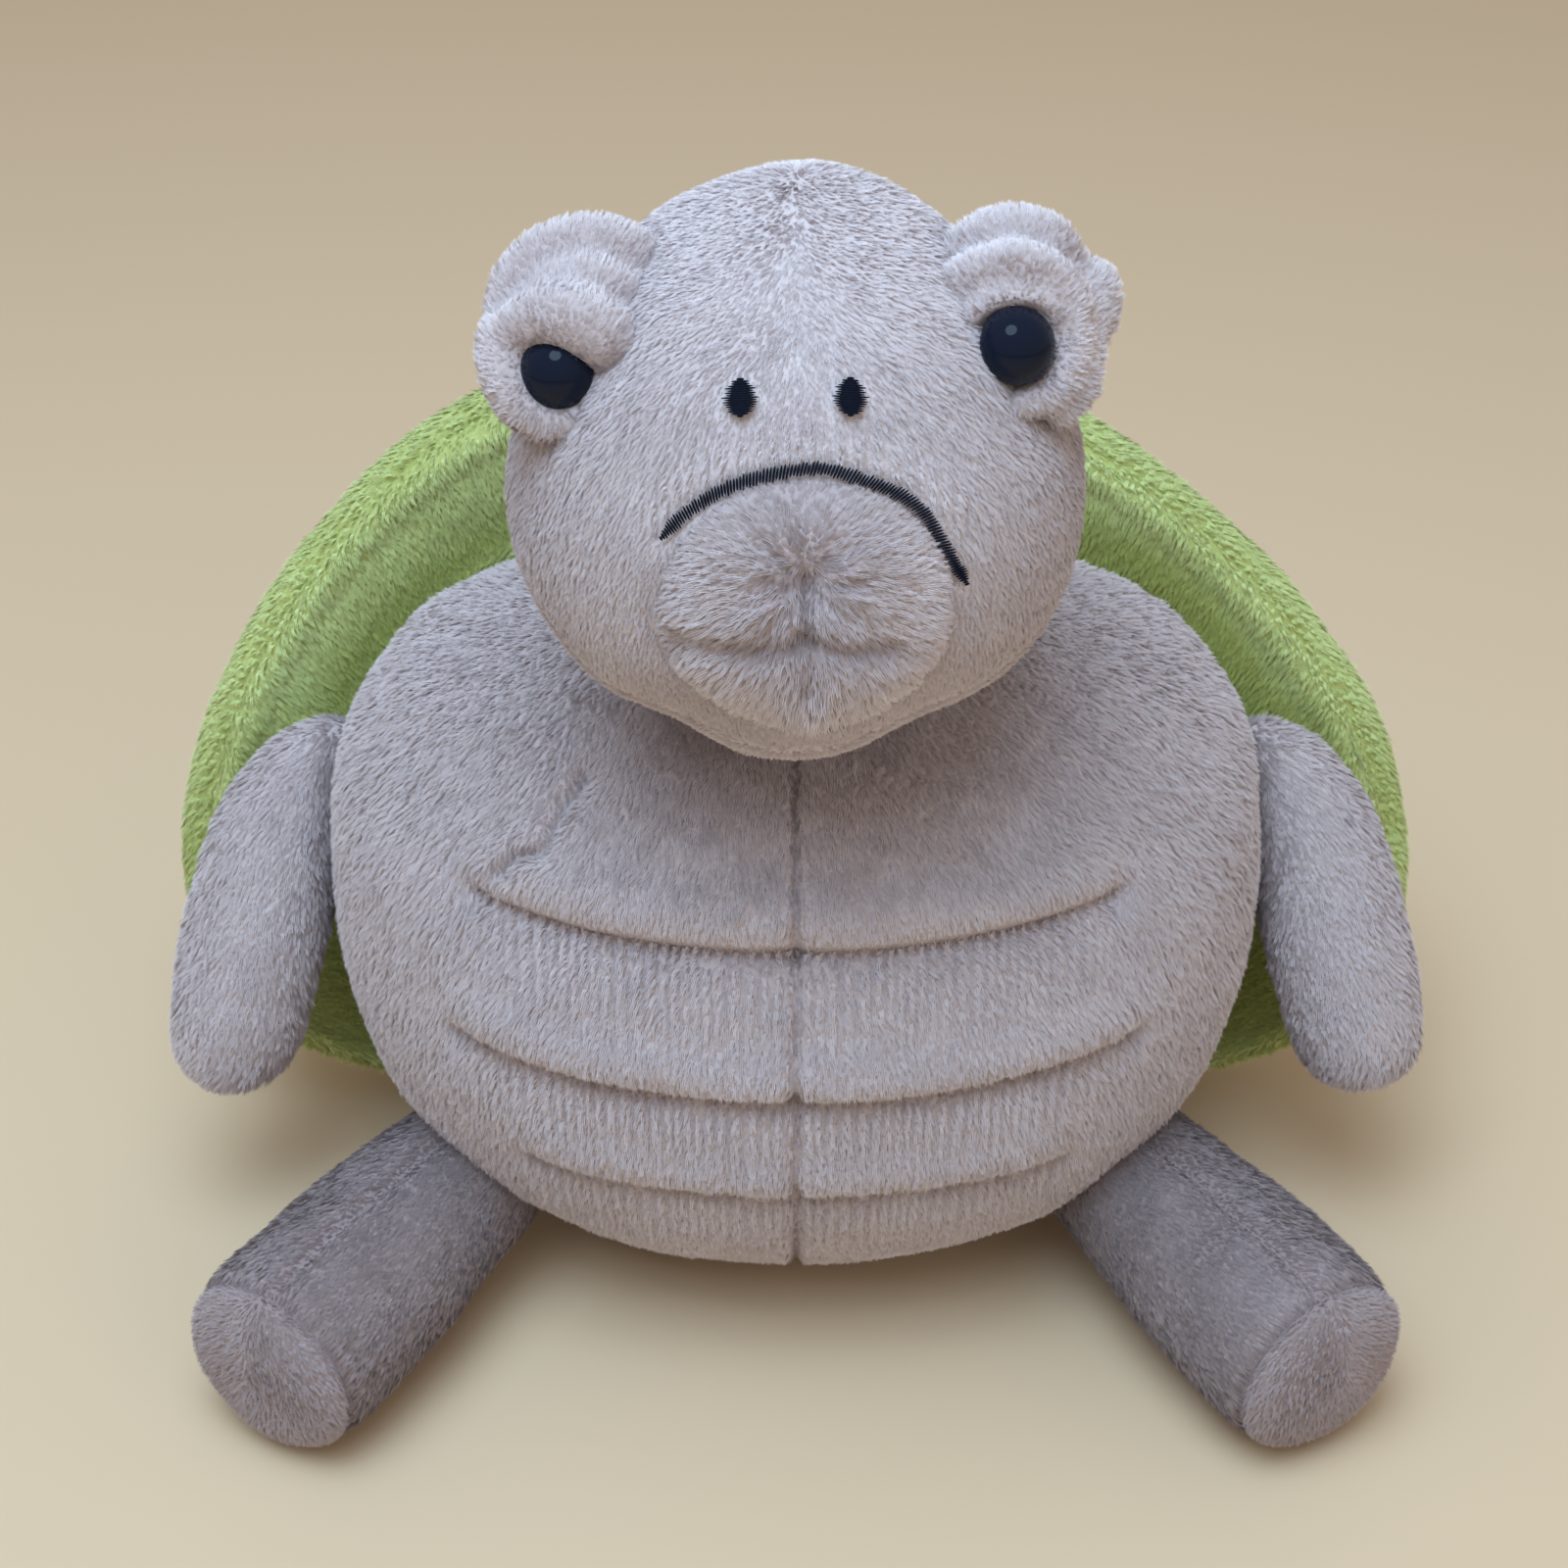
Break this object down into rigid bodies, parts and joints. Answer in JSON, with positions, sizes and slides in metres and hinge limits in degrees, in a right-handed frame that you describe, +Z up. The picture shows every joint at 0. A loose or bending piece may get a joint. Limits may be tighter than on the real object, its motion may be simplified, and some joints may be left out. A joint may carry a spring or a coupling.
{
  "type": "plush sitting turtle",
  "caption": "Sitting plush turtle in short taupe pile with a chartreuse leaning shell, hooded safety eyes, stitched frowning mouth, hanging arms and splayed legs.",
  "frame": {"origin": "on the floor plane, at the middle of the flat seat under the toy's body", "axes": "+X towards the toy's own left side (the viewer's right), -Y out of the toy's face and belly, +Z up; the toy sits on Z = 0"},
  "size_m": [0.257, 0.1803, 0.2319],
  "materials": {
    "plush": "short taupe pile",
    "sole_plush": "short browner pile",
    "shell_plush": "short chartreuse pile",
    "filling": "loose polyester fibre",
    "beans": "sewn pouch of pellets",
    "eye_black": "polished",
    "washer_black": "moulded",
    "thread": "satin stitched thread"
  },
  "bodies": {
    "body": {"belly_panel_left": "plush", "belly_panel_right": "plush", "back_panel": "plush", "body_stuffing": "filling", "bean_pouch": "beans", "shell_dome_left": "shell_plush", "shell_dome_right": "shell_plush", "shell_brim": "shell_plush", "shell_stuffing": "filling"},
    "neck": {"neck": "plush"},
    "head": {"head_face_panel": "plush", "head_throat_panel": "plush", "head_stuffing": "filling", "chin_pouch": "plush", "mouth_line": "thread", "nostril_left": "thread", "nostril_right": "thread", "eye_mound_left": "plush", "eye_mound_right": "plush", "eyelid_left": "plush", "eyelid_right": "plush", "eye_left": "eye_black", "eye_right": "eye_black", "eye_washer_left": "washer_black", "eye_washer_right": "washer_black"},
    "arm_left": {"arm_front_left": "plush", "arm_back_left": "plush", "arm_stuffing_left": "filling"},
    "arm_right": {"arm_front_right": "plush", "arm_back_right": "plush", "arm_stuffing_right": "filling"},
    "leg_left": {"leg_cover_left": "plush", "leg_sole_left": "sole_plush", "leg_stuffing_left": "filling"},
    "leg_right": {"leg_cover_right": "plush", "leg_sole_right": "sole_plush", "leg_stuffing_right": "filling"}
  },
  "joints": [
    {"name": "neck_turn", "type": "hinge", "parent": "body", "child": "neck", "pos_m": [0, -0.0105, 0.1175], "axis": [0, -0.5299, 0.848], "range_deg": [-20, 20], "stiffness_Nm_per_rad": 0.1},
    {"name": "head_nod", "type": "hinge", "parent": "neck", "child": "head", "pos_m": [0, -0.03064, 0.14973], "axis": [1, 0, 0], "range_deg": [-10, 10], "stiffness_Nm_per_rad": 0.25, "springref_deg": -1.89},
    {"name": "arm_left_raise", "type": "hinge", "parent": "body", "child": "arm_left", "pos_m": [0.09183, 0.003, 0.10082], "axis": [0, -1, 0], "range_deg": [0, 55], "stiffness_Nm_per_rad": 0.02},
    {"name": "arm_right_raise", "type": "hinge", "parent": "body", "child": "arm_right", "pos_m": [-0.09183, 0.003, 0.10082], "axis": [0, 1, 0], "range_deg": [0, 55], "stiffness_Nm_per_rad": 0.02},
    {"name": "leg_left_splay", "type": "hinge", "parent": "body", "child": "leg_left", "pos_m": [0.05993, -0.02808, 0.0215], "axis": [0, 0, 1], "range_deg": [-10, 10], "stiffness_Nm_per_rad": 0.02},
    {"name": "leg_right_splay", "type": "hinge", "parent": "body", "child": "leg_right", "pos_m": [-0.05993, -0.02808, 0.0215], "axis": [0, 0, -1], "range_deg": [-10, 10], "stiffness_Nm_per_rad": 0.02}
  ]
}
